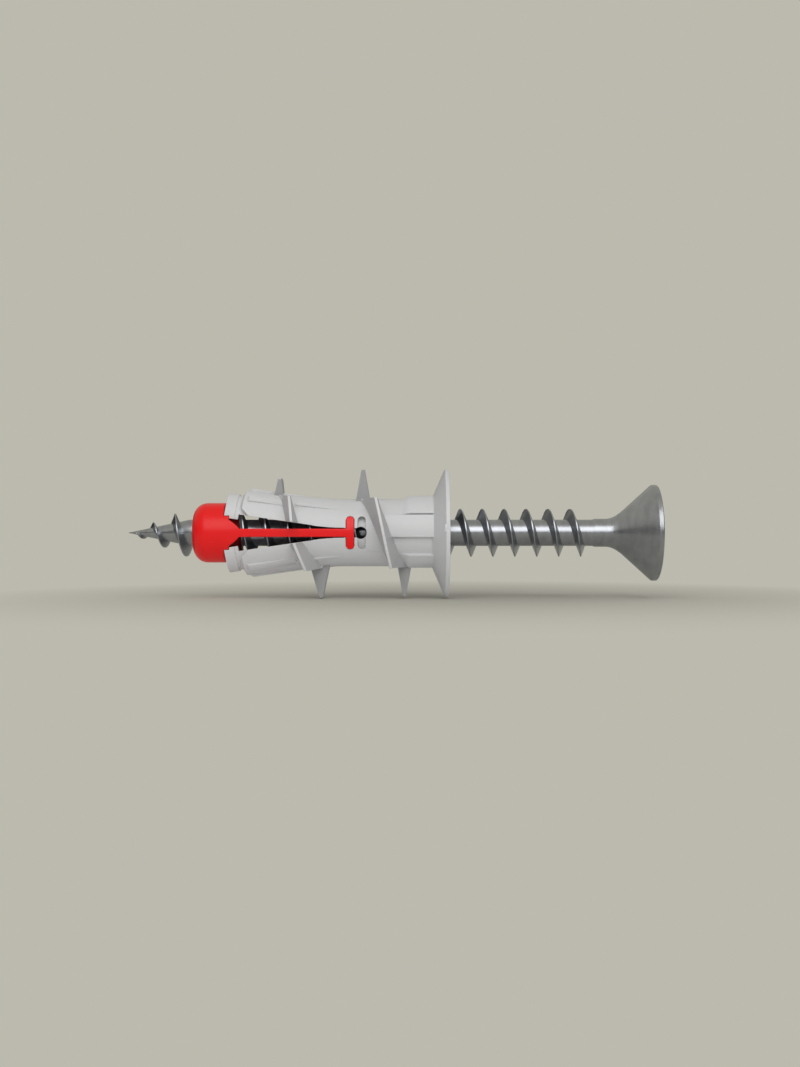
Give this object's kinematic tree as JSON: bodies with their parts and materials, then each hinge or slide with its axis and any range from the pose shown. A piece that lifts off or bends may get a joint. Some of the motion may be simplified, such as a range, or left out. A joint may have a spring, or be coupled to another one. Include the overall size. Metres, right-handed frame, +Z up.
{
  "type": "self-drilling plasterboard anchor",
  "caption": "Self-drilling plasterboard anchor in its set state: flanged sleeve with helical cutting blade and spread legs, glossy tip cap and a countersunk screw through it.",
  "frame": {"origin": "centre of the flange's outer face, on which the fixture bears", "axes": "+X along the screw toward its head, +Y away from the viewer in the pictured view, +Z up in the pictured view"},
  "size_m": [0.06, 0.0144, 0.0146],
  "materials": {
    "grey_nylon": "moulded, satin",
    "red_plastic": "moulded, glossy",
    "zinc_steel": "bright zinc plated"
  },
  "bodies": {
    "root": {"anchor_sleeve": "grey_nylon", "tip_cap": "red_plastic", "countersunk_screw": "zinc_steel"}
  },
  "joints": []
}
